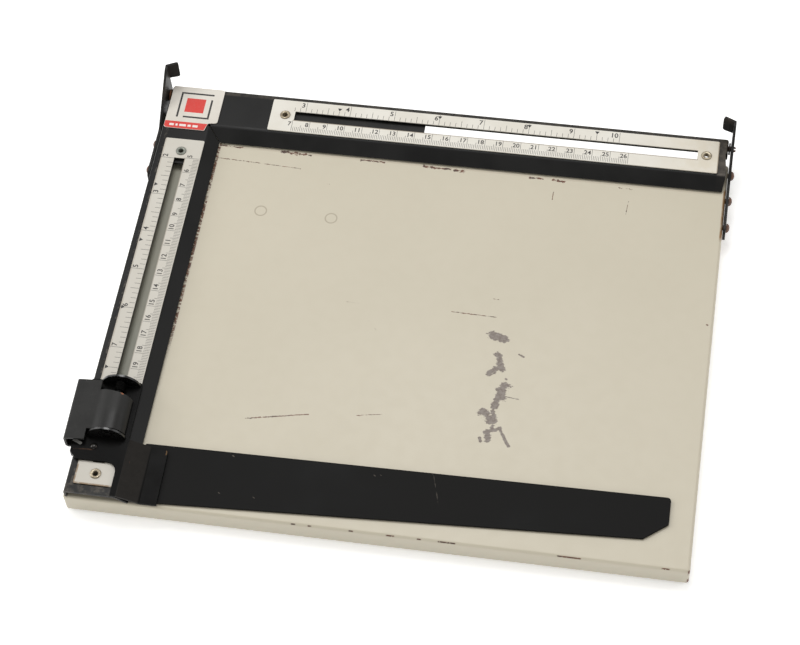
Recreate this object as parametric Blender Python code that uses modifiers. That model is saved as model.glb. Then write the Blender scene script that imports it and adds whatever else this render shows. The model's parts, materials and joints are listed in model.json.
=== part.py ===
"""Enlarging easel for prints up to 8 x 10 inches: a hinged L frame with one sliding masking blade.

Lengths are in millimetres until the meshes are made. A place is given as the real easel is read:
u runs right along the top scale, v runs to the rear along the side scale (so the front is negative),
and h is the height above the table. The object's own origin is under the middle of its box.
"""

import math

import bmesh
import bpy
from mathutils import Matrix, Vector

MM = 0.001
SCALE_ZERO_X = -154.7
SCALE_ZERO_Y = 130.3
GAP = 0.3

# Heights above the table
SKIRT_BOTTOM = 2.0
BASE_TOP = 14.0
ARM_BOTTOM = BASE_TOP + GAP
ARM_TOP = 20.0

# Base tray
BASE_LEFT = -4.6
BASE_RIGHT = 315.6
BASE_FRONT = -266.2
BASE_REAR = -12.7
BASE_SHEET = 1.0
FOOT_INSET = 16.0

# L frame
ARM_SHEET = 1.2
ARM_LEFT = -3.2
ARM_RIGHT = 314.4
ARM_REAR = 0.8
ARM_FRONT = -265.9
TOP_FOLD = -25.0
TOP_SKIRT_FOOT = -33.0
SIDE_FOLD = 23.4
SIDE_SKIRT_FOOT = 30.2
SKIRT_LIFT = 1.0
FOLD_RADIUS = 1.2
JOIN_GAP = 0.35
EAR_DEPTH = 8.6
EAR_LENGTH = 10.2
GUSSET_END_U = 144.7
GUSSET_END_V = -52.4

# Scale plates: (left, right, rear, front)
TOP_PLATE = (56.6, 309.6, -2.4, -24.3)
TOP_SLOT = (70.4, 297.9, -9.8, -16.1)
SIDE_PLATE = (0.9, 23.2, -37.0, -260.8)
SIDE_SLOT = (8.5, 14.5, -50.3, -247.8)
PLATE_SHEET = 0.5
PLATE_GAP = 0.2
TOP_EYELETS = ((65.0, -13.0), (302.8, -13.0))
SIDE_EYELETS = ((11.4, -45.5), (11.4, -254.3))
EYELET_HOLE = 2.0

# Hinge straps, mirrored about the middle of the base
HINGE_V = -3.0
HINGE_H = 15.8
STRAP_SHEET = 1.4
STRAP_FRONT = -59.2
STRAP_REAR = 3.4
STOP_WIDTH = 6.8
STOP_LEAN = 2.4
STOP_DROP = 0.9
STOP_HEIGHTS = {"left": (24.8, 36.0), "right": (23.4, 34.0)}
STRAP_RIVETS_V = (-53.3, -35.2, -17.6)
STRAP_RIVET_H = 10.4
RIVET_SHANK = 1.4
HEAD_GAP = 0.2
PIVOT_SHANK = 1.5
PIVOT_END = 1.3
PIVOT_HEAD = 2.3
PIVOT_HEAD_GAP = 0.5
PIVOT_SLOT = 0.7
PIVOT_SLOT_DEG = -57.0
HOLE_PLAY = 0.08

# Carriage, turned by its play on the arm about the clamp stem
CARRIAGE_PLAY_DEG = 0.82
STEM_U = 10.4
STEM_V = -220.5
STEM_RADIUS = 1.1
CARRIAGE_SHEET = 1.1
CARRIAGE_TOP = ARM_TOP + PLATE_GAP + PLATE_SHEET + GAP + CARRIAGE_SHEET
CARRIAGE_REAR = -199.2
CARRIAGE_FLAT_FRONT = -247.4
CARRIAGE_FRONT = -266.6
CARRIAGE_LEFT = -4.9
CARRIAGE_FOLD = 24.4
FLANGE_FOOT = 17.0
FOOT_REAR = -233.4
FOOT_FOLD = 35.8
FOOT_RIGHT = 44.5
BLADE_SHEET = 1.2
EAR_RADIUS = 10.3
EAR_BASE_H = 21.3
EAR_HEIGHT = 9.7
EARS = ((13.5, -201.0), (12.2, -233.0))

# Lock lever, turning on its pin between the carriage's ears
PIN_U = 14.0
PIN_H = 25.6
PIN_RADIUS = 1.5
LEVER_SHEET = 1.2
LEVER_REAR = -202.2
LEVER_FRONT = -237.8
SADDLE_REAR = -208.0
SADDLE_SKEW = 0.16
SADDLE_FRONT = -231.4
LUG_REAR = -212.4
LUG_FRONT = -230.2
THUMB_RIGHT = 4.2
THUMB_NOTCH = 1.8

ROUND = 16


def at(u, v, h):
    """The point at those readings, in metres in the object's own frame."""
    return Vector(((u + SCALE_ZERO_X) * MM, (v + SCALE_ZERO_Y) * MM, h * MM))


def collection(name):
    made = bpy.data.collections.new(name)
    bpy.context.scene.collection.children.link(made)
    return made


def material(name, colour, roughness, metallic):
    made = bpy.data.materials.new(name)
    made.use_nodes = True
    shader = made.node_tree.nodes["Principled BSDF"]
    shader.inputs["Base Color"].default_value = (*colour, 1.0)
    shader.inputs["Roughness"].default_value = roughness
    shader.inputs["Metallic"].default_value = metallic
    made.diffuse_color = (*colour, 1.0)
    return made


def rounded(corners, segments=4):
    """A closed outline from (x, y, radius) corners: each corner with a radius becomes an arc."""
    outline = []
    count = len(corners)
    for i, (x, y, radius) in enumerate(corners):
        corner = Vector((x, y))
        before = (Vector(corners[i - 1][:2]) - corner).normalized()
        after = (Vector(corners[(i + 1) % count][:2]) - corner).normalized()
        if radius == 0:
            outline.append((x, y))
            continue
        half = 0.5 * math.acos(max(-1.0, min(1.0, before.dot(after))))
        centre = corner + (before + after).normalized() * (radius / math.sin(half))
        start = corner + before * (radius / math.tan(half)) - centre
        end = corner + after * (radius / math.tan(half)) - centre
        sweep = start.angle_signed(end)
        for step in range(segments + 1):
            turned = start.copy()
            turned.rotate(Matrix.Rotation(-sweep * step / segments, 2))
            outline.append(tuple(centre + turned))
    return outline


def rectangle(left, right, rear, front, radius=0.0):
    corners = ((left, front), (right, front), (right, rear), (left, rear))
    return rounded([(x, y, radius) for x, y in corners])


def ring(x, y, radius, count=ROUND):
    turns = [2 * math.pi * i / count for i in range(count)]
    return [(x + radius * math.cos(t), y + radius * math.sin(t)) for t in turns]


def plan_to_world(h):
    """Outlines drawn in (u, v), at height h."""
    return Matrix.Translation(at(0, 0, h))


def side_to_world(u):
    """Outlines drawn in (v, h), in the upright plane across the easel at u."""
    turn = Matrix(((0, 0, 1, 0), (1, 0, 0, 0), (0, 1, 0, 0), (0, 0, 0, 1)))
    return Matrix.Translation(at(u, 0, 0)) @ turn


def front_to_world(v):
    """Outlines drawn in (u, h), in the upright plane facing the front at v."""
    turn = Matrix(((1, 0, 0, 0), (0, 0, -1, 0), (0, 1, 0, 0), (0, 0, 0, 1)))
    return Matrix.Translation(at(0, v, 0)) @ turn


def prism_mesh(name, loops, thickness, to_world):
    """A flat plate of that thickness from its outline and its holes, centred on the drawing plane."""
    curve = bpy.data.curves.new(name, "CURVE")
    curve.dimensions = "2D"
    curve.fill_mode = "BOTH"
    curve.extrude = 0.5 * thickness * MM
    for loop in loops:
        spline = curve.splines.new("POLY")
        spline.points.add(len(loop) - 1)
        for point, (x, y) in zip(spline.points, loop):
            point.co = (x * MM, y * MM, 0, 1)
        spline.use_cyclic_u = True
    outline = bpy.data.objects.new(name, curve)
    guides.objects.link(outline)
    graph = bpy.context.evaluated_depsgraph_get()
    mesh = bpy.data.meshes.new_from_object(outline.evaluated_get(graph))
    bpy.data.objects.remove(outline)
    bpy.data.curves.remove(curve)
    bm = bmesh.new()
    bm.from_mesh(mesh)
    bmesh.ops.remove_doubles(bm, verts=bm.verts, dist=1e-6)
    bmesh.ops.recalc_face_normals(bm, faces=bm.faces)
    bm.transform(to_world)
    bm.to_mesh(mesh)
    bm.free()
    return mesh


def finish_bmesh(bm, name):
    mesh = bpy.data.meshes.new(name)
    bm.to_mesh(mesh)
    bm.free()
    return mesh


def place(name, mesh, look, origin, group=None, target=None):
    """Puts a mesh made in the object's frame into an object with its own origin, under its group."""
    mesh.transform(Matrix.Translation(-origin))
    mesh.name = name
    piece = bpy.data.objects.new(name, mesh)
    (target or parts).objects.link(piece)
    if look:
        mesh.materials.append(look)
    if group:
        piece.parent = group
        piece.location = origin - group.location
    else:
        piece.location = origin
    return piece


def cutter(name, mesh, group=None):
    piece = place(name, mesh, None, Vector((0, 0, 0)), group, cutters)
    piece.hide_render = True
    piece.display_type = "WIRE"
    return piece


def boolean(piece, tool, operation="DIFFERENCE"):
    modifier = piece.modifiers.new(tool.name, "BOOLEAN")
    modifier.operation = operation
    modifier.solver = "EXACT"
    modifier.object = tool


def solidify(piece, thickness):
    modifier = piece.modifiers.new("sheet", "SOLIDIFY")
    modifier.thickness = thickness * MM
    modifier.offset = -1.0
    modifier.use_even_offset = True


def smooth(piece, degrees=35.0):
    piece.data.shade_smooth()
    piece.data.set_sharp_from_angle(angle=math.radians(degrees))


def cylinder_mesh(name, radius, length, to_world, count=ROUND):
    """A cylinder along the drawing plane's normal, centred on the plane's origin."""
    bm = bmesh.new()
    bmesh.ops.create_cone(bm, cap_ends=True, segments=count, radius1=radius * MM,
                          radius2=radius * MM, depth=length * MM)
    bm.transform(to_world)
    return finish_bmesh(bm, name)


def box_mesh(name, low, high):
    """A box between two corners given as (u, v, h)."""
    a, b = at(*low), at(*high)
    bm = bmesh.new()
    bmesh.ops.create_cube(bm, size=1.0)
    bm.transform(Matrix.Translation((a + b) / 2) @ Matrix.Diagonal((*(b - a), 1.0)))
    return finish_bmesh(bm, name)


def turned(name, profile, look, place_at, direction, group=None, steps=ROUND):
    """A turned piece: profile is (radius, height) from the top down the outer side."""
    mesh = bpy.data.meshes.new(name)
    bm = bmesh.new()
    verts = [bm.verts.new((radius * MM, 0, height * MM)) for radius, height in profile]
    for first, second in zip(verts, verts[1:]):
        bm.edges.new((first, second))
    if profile[0][0] > 0:
        bm.edges.new((verts[-1], verts[0]))
    bm.to_mesh(mesh)
    bm.free()
    piece = place(name, mesh, look, Vector((0, 0, 0)))
    modifier = piece.modifiers.new("turn", "SCREW")
    modifier.axis = "Z"
    modifier.steps = steps
    modifier.render_steps = steps
    modifier.use_merge_vertices = True
    modifier.merge_threshold = 1e-5
    modifier.use_smooth_shade = True
    piece.rotation_euler = Vector(direction).to_track_quat("Z", "Y").to_euler()
    piece.location = place_at
    if group:
        piece.parent = group
        piece.location = place_at - group.location
    return piece


def boundary_edges(bm, test):
    """Open edges whose two ends both pass the test, which takes (u, v, h)."""
    def reading(vert):
        return (vert.co.x / MM - SCALE_ZERO_X, vert.co.y / MM - SCALE_ZERO_Y, vert.co.z / MM)
    return [edge for edge in bm.edges
            if edge.is_boundary and all(test(*reading(vert)) for vert in edge.verts)]


def fold(bm, edges, offset):
    """Draws a flange out of those edges; offset(u, v, h) gives each new corner's move."""
    made = bmesh.ops.extrude_edge_only(bm, edges=edges)
    for vert in [g for g in made["geom"] if isinstance(g, bmesh.types.BMVert)]:
        reading = (vert.co.x / MM - SCALE_ZERO_X, vert.co.y / MM - SCALE_ZERO_Y, vert.co.z / MM)
        vert.co += Vector(offset(*reading)) * MM


def round_folds(bm, radius, segments=3, least_degrees=15.0):
    folds = [edge for edge in bm.edges if len(edge.link_faces) == 2
             and edge.calc_face_angle(0.0) > math.radians(least_degrees)]
    bmesh.ops.bevel(bm, geom=folds, offset=radius * MM, offset_type="OFFSET", segments=segments,
                    profile=0.5, affect="EDGES", clamp_overlap=True)


def near(value, target):
    return abs(value - target) < 0.02


# ------------------------------------------------------------------ base

def base_tray(look):
    """A shallow tray of painted sheet, open below, with rounded folds."""
    bm = bmesh.new()
    low, high = at(BASE_LEFT, BASE_FRONT, SKIRT_BOTTOM), at(BASE_RIGHT, BASE_REAR, BASE_TOP)
    bmesh.ops.create_cube(bm, size=1.0)
    bm.transform(Matrix.Translation((low + high) / 2) @ Matrix.Diagonal((*(high - low), 1.0)))
    bottom = [face for face in bm.faces if face.normal.z < -0.5]
    bmesh.ops.delete(bm, geom=bottom, context="FACES_ONLY")
    round_folds(bm, 1.6)
    piece = place("base_tray", finish_bmesh(bm, "base_tray"), look,
                  at((BASE_LEFT + BASE_RIGHT) / 2, (BASE_FRONT + BASE_REAR) / 2, BASE_TOP))
    solidify(piece, BASE_SHEET)
    for v in STRAP_RIVETS_V:
        across = side_to_world(0) @ Matrix.Translation((v * MM, STRAP_RIVET_H * MM, 0))
        for side, u in (("left", BASE_LEFT), ("right", BASE_RIGHT)):
            move = Matrix.Translation((u * MM, 0, 0))
            hole = cylinder_mesh("hole", RIVET_SHANK + HOLE_PLAY, 6.0, move @ across)
            boolean(piece, cutter(f"base_hole_{side}_{-round(v)}", hole))
    smooth(piece)


def rubber_feet(look):
    profile = ((0, 12.7), (6.6, 12.7), (6.6, 10.6), (5.4, 9.8), (4.8, 0.9), (4.0, 0.0), (0, 0.0))
    for side, u in (("left", BASE_LEFT + FOOT_INSET), ("right", BASE_RIGHT - FOOT_INSET)):
        for end, v in (("front", BASE_FRONT + FOOT_INSET), ("rear", BASE_REAR - FOOT_INSET)):
            turned(f"foot_{end}_{side}", profile, look, at(u, v, 0), (0, 0, 1))


# ---------------------------------------------------------------- hinges

def hinge_strap(side, look):
    """A steel strap riveted to the tray's skirt; its upper end is folded in as the frame's stop."""
    outward = -1 if side == "left" else 1
    skirt = BASE_LEFT if side == "left" else BASE_RIGHT
    outer = skirt + outward * (GAP + STRAP_SHEET)
    stop_foot, stop_top = STOP_HEIGHTS[side]
    fold_top = stop_top - STOP_DROP
    outline = rounded([(STRAP_FRONT, 5.2, 3.0), (STRAP_FRONT, 15.0, 3.0), (-27.5, 15.0, 6.0),
                       (0.2, fold_top - 0.6, 2.5), (STRAP_REAR, fold_top, 0),
                       (STRAP_REAR, stop_foot, 0), (STRAP_REAR, 11.0, 4.5), (-5.0, 9.6, 6.0),
                       (-15.0, 5.2, 5.0)])
    bm = bmesh.new()
    bm.faces.new([bm.verts.new(at(outer, v, h)) for v, h in outline])
    rear_edge = boundary_edges(bm, lambda u, v, h: near(v, STRAP_REAR) and h > stop_foot - 0.1)
    fold(bm, rear_edge, lambda u, v, h: (-outward * STOP_WIDTH, STOP_LEAN,
                                         STOP_DROP if near(h, fold_top) else 0))
    tab = boundary_edges(bm, lambda u, v, h: near(v, STRAP_REAR + STOP_LEAN))
    corners = {vert for edge in tab for vert in edge.verts}
    bmesh.ops.bevel(bm, geom=list(corners), offset=1.4 * MM, segments=3, profile=0.5,
                    affect="VERTICES")
    round_folds(bm, 1.5)
    bmesh.ops.recalc_face_normals(bm, faces=bm.faces)
    widest = max(bm.faces, key=lambda f: f.calc_area())
    if widest.normal.x * outward < 0:
        bmesh.ops.reverse_faces(bm, faces=bm.faces)
    piece = place(f"hinge_strap_{side}", finish_bmesh(bm, "strap"), look,
                  at(outer, HINGE_V, HINGE_H))
    solidify(piece, STRAP_SHEET)
    holes = [(v, STRAP_RIVET_H, RIVET_SHANK + HOLE_PLAY) for v in STRAP_RIVETS_V]
    holes.append((HINGE_V, HINGE_H, PIVOT_SHANK + HOLE_PLAY))
    for number, (v, h, radius) in enumerate(holes):
        across = side_to_world(outer) @ Matrix.Translation((v * MM, h * MM, 0))
        hole = cylinder_mesh("hole", radius, 6.0, across)
        boolean(piece, cutter(f"strap_hole_{side}_{number}", hole))
    smooth(piece)


def strap_rivets(side, look):
    outward = -1 if side == "left" else 1
    skirt = BASE_LEFT if side == "left" else BASE_RIGHT
    grip = BASE_SHEET + GAP + STRAP_SHEET + 2 * HEAD_GAP
    head = skirt + outward * (GAP + STRAP_SHEET + HEAD_GAP)
    profile = ((0, 1.8), (1.2, 1.65), (2.1, 1.05), (2.6, 0.0), (RIVET_SHANK, 0.0),
               (RIVET_SHANK, -grip), (2.2, -grip), (1.7, -grip - 0.7), (0, -grip - 0.8))
    for end, v in zip(("front", "middle", "rear"), STRAP_RIVETS_V):
        turned(f"strap_rivet_{end}_{side}", profile, look, at(head, v, STRAP_RIVET_H),
               (outward, 0, 0))


def pivot_screw(side, look):
    """A shoulder screw from inside the ear; its slotted end stands out of the strap it screws into."""
    outward = -1 if side == "left" else 1
    skirt = BASE_LEFT if side == "left" else BASE_RIGHT
    arm = ARM_LEFT if side == "left" else ARM_RIGHT
    face = skirt + outward * (GAP + STRAP_SHEET)
    grip = abs(face - arm) + ARM_SHEET + PIVOT_HEAD_GAP
    profile = ((0, PIVOT_END), (1.1, PIVOT_END), (PIVOT_SHANK, PIVOT_END - 0.35),
               (PIVOT_SHANK, -grip), (PIVOT_HEAD, -grip), (PIVOT_HEAD - 0.2, -grip - 0.7),
               (0, -grip - 0.8))
    piece = turned(f"pivot_screw_{side}", profile, look, at(face, HINGE_V, HINGE_H),
                   (outward, 0, 0), steps=20)
    turn = Matrix.Rotation(math.radians(PIVOT_SLOT_DEG), 4, "Z")
    slot = [(2 * PIVOT_SHANK, -PIVOT_SLOT / 2), (2 * PIVOT_SHANK, PIVOT_SLOT / 2),
            (-2 * PIVOT_SHANK, PIVOT_SLOT / 2), (-2 * PIVOT_SHANK, -PIVOT_SLOT / 2)]
    across = side_to_world(face + outward * PIVOT_END)
    across = across @ Matrix.Translation((HINGE_V * MM, HINGE_H * MM, 0)) @ turn
    boolean(piece, cutter(f"screw_slot_{side}", prism_mesh("slot", [slot], 2.0, across)))


def pivot_washer(side, look):
    outward = -1 if side == "left" else 1
    skirt = BASE_LEFT if side == "left" else BASE_RIGHT
    arm = ARM_LEFT if side == "left" else ARM_RIGHT
    space = abs(skirt + outward * GAP - arm)
    half = space / 2 - GAP
    profile = ((1.8, half), (3.4, half), (3.4, -half), (1.8, -half))
    middle = arm + outward * space / 2
    turned(f"pivot_washer_{side}", profile, look, at(middle, HINGE_V, HINGE_H), (outward, 0, 0))


# --------------------------------------------------------------- L frame

def cut_slot(piece, name, slot):
    left, right, rear, front = slot
    boolean(piece, cutter(name, box_mesh(name, (left, front, 16.0), (right, rear, 24.0))))


def cut_eyelet_holes(piece, places, name):
    for number, (u, v) in enumerate(places):
        hole = cylinder_mesh("hole", EYELET_HOLE, 8.0, Matrix.Translation(at(u, v, 19.0)))
        boolean(piece, cutter(f"{name}_eyelet_hole_{number}", hole))


def cut_pivot_hole(piece, side):
    arm = ARM_LEFT if side == "left" else ARM_RIGHT
    across = side_to_world(arm) @ Matrix.Translation((HINGE_V * MM, HINGE_H * MM, 0))
    hole = cylinder_mesh("hole", PIVOT_SHANK + HOLE_PLAY, 4.0, across, 20)
    boolean(piece, cutter(f"pivot_hole_{side}", hole))


def sheet_from(bm, name, look, origin, thickness, group=None):
    """Rounds the folds of an open sheet, turns it outer side out and gives it its thickness."""
    round_folds(bm, FOLD_RADIUS)
    bmesh.ops.recalc_face_normals(bm, faces=bm.faces)
    widest = max(bm.faces, key=lambda f: f.calc_area())
    if widest.normal.z < 0:
        bmesh.ops.reverse_faces(bm, faces=bm.faces)
    piece = place(name, finish_bmesh(bm, name), look, origin, group)
    solidify(piece, thickness)
    smooth(piece)
    return piece


def top_arm(look):
    """The rear arm: flat top, rear flange, sloping front skirt and a hinge ear at each end."""
    join = TOP_FOLD + JOIN_GAP / 2
    ear = ARM_REAR - EAR_LENGTH
    outline = ((ARM_LEFT, ARM_REAR), (ARM_LEFT, ear), (ARM_LEFT, join),
               (SIDE_FOLD + JOIN_GAP / 2, join), (ARM_RIGHT, join), (ARM_RIGHT, ear),
               (ARM_RIGHT, ARM_REAR))
    bm = bmesh.new()
    bm.faces.new([bm.verts.new(at(u, v, ARM_TOP)) for u, v in outline])
    drop = ARM_BOTTOM - ARM_TOP
    outer = boundary_edges(bm, lambda u, v, h: near(v, ARM_REAR) or near(u, ARM_LEFT)
                           or (near(u, ARM_RIGHT) and v > ear - 0.1))
    fold(bm, outer, lambda u, v, h: (0, 0, drop))
    ears = boundary_edges(bm, lambda u, v, h: near(h, ARM_BOTTOM) and v > ear - 0.1
                          and (near(u, ARM_LEFT) or near(u, ARM_RIGHT)))
    ears = [edge for edge in ears if abs(edge.verts[0].co.x - edge.verts[1].co.x) < MM]
    deeper = ARM_TOP - EAR_DEPTH - ARM_BOTTOM
    fold(bm, ears, lambda u, v, h: (0, 2.6 if v < -5 else -2.2, deeper))
    slope = boundary_edges(bm, lambda u, v, h: near(v, join) and u > SIDE_FOLD and near(h, ARM_TOP))

    def skirt_foot(u, v, h):
        inward = SIDE_SKIRT_FOOT - SIDE_FOLD if u < 100 else -1.2
        return (inward, TOP_SKIRT_FOOT - TOP_FOLD, drop + SKIRT_LIFT)

    fold(bm, slope, skirt_foot)
    piece = sheet_from(bm, "top_arm", look, at(ARM_LEFT, HINGE_V, HINGE_H), ARM_SHEET)
    cut_slot(piece, "top_arm_slot", TOP_SLOT)
    cut_eyelet_holes(piece, TOP_EYELETS, "top_arm")
    cut_pivot_hole(piece, "left")
    cut_pivot_hole(piece, "right")


def side_arm(look):
    """The left arm: butts against the top arm under the badge, with its skirt mitred to it."""
    join = TOP_FOLD - JOIN_GAP / 2
    outline = ((ARM_LEFT, join), (ARM_LEFT, ARM_FRONT), (SIDE_FOLD, ARM_FRONT), (SIDE_FOLD, join))
    bm = bmesh.new()
    bm.faces.new([bm.verts.new(at(u, v, ARM_TOP)) for u, v in outline])
    drop = ARM_BOTTOM - ARM_TOP
    fold(bm, boundary_edges(bm, lambda u, v, h: near(u, ARM_LEFT)), lambda u, v, h: (0, 0, drop))

    def skirt_foot(u, v, h):
        mitre = TOP_SKIRT_FOOT - TOP_FOLD if v > -100 else 0
        return (SIDE_SKIRT_FOOT - SIDE_FOLD, mitre, drop + SKIRT_LIFT)

    fold(bm, boundary_edges(bm, lambda u, v, h: near(u, SIDE_FOLD)), skirt_foot)
    piece = sheet_from(bm, "side_arm", look, at(ARM_LEFT, HINGE_V, HINGE_H), ARM_SHEET)
    cut_slot(piece, "side_arm_slot", SIDE_SLOT)
    cut_eyelet_holes(piece, SIDE_EYELETS, "side_arm")


def corner_gusset(look):
    """The plate welded under the corner; it shows through the left part of the top slot."""
    outline = ((0.0, -0.6), (0.0, GUSSET_END_V), (21.6, GUSSET_END_V), (21.6, -23.6),
               (GUSSET_END_U, -23.6), (GUSSET_END_U, -0.6))
    holes = [ring(*TOP_EYELETS[0], EYELET_HOLE), ring(*SIDE_EYELETS[0], EYELET_HOLE)]
    h = ARM_TOP - ARM_SHEET - GAP - ARM_SHEET / 2
    mesh = prism_mesh("gusset", [outline, *holes], ARM_SHEET, plan_to_world(h))
    place("corner_gusset", mesh, look, at(0, 0, h))


def scale_plate(name, plate, slot, eyelets, look):
    h = ARM_TOP + PLATE_GAP + PLATE_SHEET / 2
    holes = [rectangle(*slot), *[ring(u, v, EYELET_HOLE) for u, v in eyelets]]
    mesh = prism_mesh(name, [rectangle(*plate, 0.8), *holes], PLATE_SHEET, plan_to_world(h))
    place(name, mesh, look, at(plate[0], plate[3], h))


def eyelet(name, u, v, layers, look):
    """A rolled tube through the scale plate and the sheets under it."""
    grip = layers + 0.35
    top = ARM_TOP + PLATE_GAP + PLATE_SHEET + 0.15
    profile = ((1.55, 0.5), (2.3, 0.5), (2.95, 0.15), (3.0, 0.0), (1.75, 0.0), (1.75, -grip),
               (2.4, -grip), (2.3, -grip - 0.4), (1.5, -grip - 0.4), (1.35, -grip + 0.1), (1.35, 0.1))
    turned(name, profile, look, at(u, v, top), (0, 0, 1))


def corner_badge(look):
    outline = rounded([(-2.4, 0.4, 1.2), (-2.4, -29.6, 1.5), (21.2, -29.6, 0.6), (22.4, -24.3, 1.0),
                       (27.6, -23.6, 1.5), (27.6, 0.4, 1.5)])
    h = ARM_TOP + PLATE_GAP + 0.2
    mesh = prism_mesh("badge", [outline], 0.4, plan_to_world(h))
    place("corner_badge", mesh, look, at(-2.4, -29.6, h))


# -------------------------------------------------------------- carriage

def carriage_plate(look, group):
    """The bent plate that rides over the side arm, with the foot that carries the blade."""
    strip = 20.9
    outline = rounded([(-2.0, CARRIAGE_REAR, 0), (CARRIAGE_LEFT, CARRIAGE_REAR - 3.0, 0),
                       (CARRIAGE_LEFT, -243.4, 0), (-0.8, CARRIAGE_FLAT_FRONT, 0),
                       (strip, CARRIAGE_FLAT_FRONT, 5.5), (strip, CARRIAGE_FRONT, 0),
                       (CARRIAGE_FOLD, CARRIAGE_FRONT, 0), (CARRIAGE_FOLD, FOOT_REAR, 0),
                       (CARRIAGE_FOLD, CARRIAGE_REAR, 1.5)])
    bm = bmesh.new()
    bm.faces.new([bm.verts.new(at(u, v, CARRIAGE_TOP)) for u, v in outline])
    wrap = boundary_edges(bm, lambda u, v, h: near(u, CARRIAGE_LEFT))
    fold(bm, wrap, lambda u, v, h: (0, 0, FLANGE_FOOT - CARRIAGE_TOP))
    foot_top = BASE_TOP + GAP + BLADE_SHEET + GAP + CARRIAGE_SHEET
    slope = boundary_edges(bm, lambda u, v, h: near(u, CARRIAGE_FOLD) and v < FOOT_REAR + 0.1)
    fold(bm, slope, lambda u, v, h: (FOOT_FOLD - CARRIAGE_FOLD, 0, foot_top - CARRIAGE_TOP))
    lower = boundary_edges(bm, lambda u, v, h: near(u, FOOT_FOLD))
    fold(bm, lower, lambda u, v, h: (FOOT_RIGHT - FOOT_FOLD, 0, 0))
    corner = [vert for vert in bm.verts if (vert.co - at(FOOT_RIGHT, FOOT_REAR, foot_top)).length < MM]
    bmesh.ops.bevel(bm, geom=corner, offset=3.5 * MM, segments=4, profile=0.5, affect="VERTICES")
    piece = sheet_from(bm, "carriage_plate", look, at(STEM_U, STEM_V, CARRIAGE_TOP),
                       CARRIAGE_SHEET, group)
    for number, (u, v) in enumerate(EARS):
        arc = [math.pi * i / 18 for i in range(19)]
        outline = [(u + EAR_RADIUS * math.cos(t), EAR_BASE_H + EAR_HEIGHT * math.sin(t)) for t in arc]
        ear = prism_mesh("ear", [outline], CARRIAGE_SHEET, front_to_world(v))
        boolean(piece, cutter(f"carriage_ear_{number}", ear, group), "UNION")
    pin_hole = cylinder_mesh("hole", PIN_RADIUS + HOLE_PLAY, 60.0, front_to_world(STEM_V)
                             @ Matrix.Translation((PIN_U * MM, PIN_H * MM, 0)))
    boolean(piece, cutter("carriage_pin_hole", pin_hole, group))
    stem_hole = cylinder_mesh("hole", STEM_RADIUS + 0.5, 4.0,
                              Matrix.Translation(at(STEM_U, STEM_V, CARRIAGE_TOP - 0.6)))
    boolean(piece, cutter("carriage_stem_hole", stem_hole, group))


def blade(look, group):
    """The masking blade: a straight rear edge, a tapering front edge and a clipped corner."""
    outline = rounded([(31.6, -264.6, 0.8), (41.4, -264.6, 0), (290.3, -255.4, 1.2),
                       (302.5, -246.0, 1.5), (302.6, -230.9, 1.8), (31.6, -230.9, 0.8)])
    h = BASE_TOP + GAP + BLADE_SHEET / 2
    mesh = prism_mesh("blade", [outline], BLADE_SHEET, plan_to_world(h))
    place("blade", mesh, look, at(31.6, -230.9, h), group)


def lever_pin(look, group):
    rear, front = EARS[0][1] + 0.6, EARS[1][1] - 0.6
    length = rear - front + 0.4
    profile = ((0, 0.5), (1.4, 0.45), (2.0, 0.0), (PIN_RADIUS, 0.0), (PIN_RADIUS, -length),
               (2.0, -length), (1.4, -length - 0.45), (0, -length - 0.5))
    turned("lever_pin", profile, look, at(PIN_U, rear + 0.2, PIN_H), (0, 1, 0), group)


def lever_section():
    """The lever's outer side from its inner lip, over the thumb plate, to its right end."""
    lip = ((-6.2, 16.6), (-7.6, 16.1), (-8.9, 16.8), (-9.3, 18.2))
    shoulder = ((-9.3, 24.3), (-9.0, 25.1), (-8.2, 25.5))
    plate = ((THUMB_NOTCH, 26.3), (THUMB_RIGHT, 26.5), (6.4, 27.9))
    saddle = ((8.8, 28.8), (11.4, 29.2), (14.2, 29.2), (16.8, 28.7), (18.9, 27.5),
              (20.6, 25.8), (21.5, 24.0), (21.7, 23.0))
    return (*lip, *shoulder, *plate, *saddle)


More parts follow.
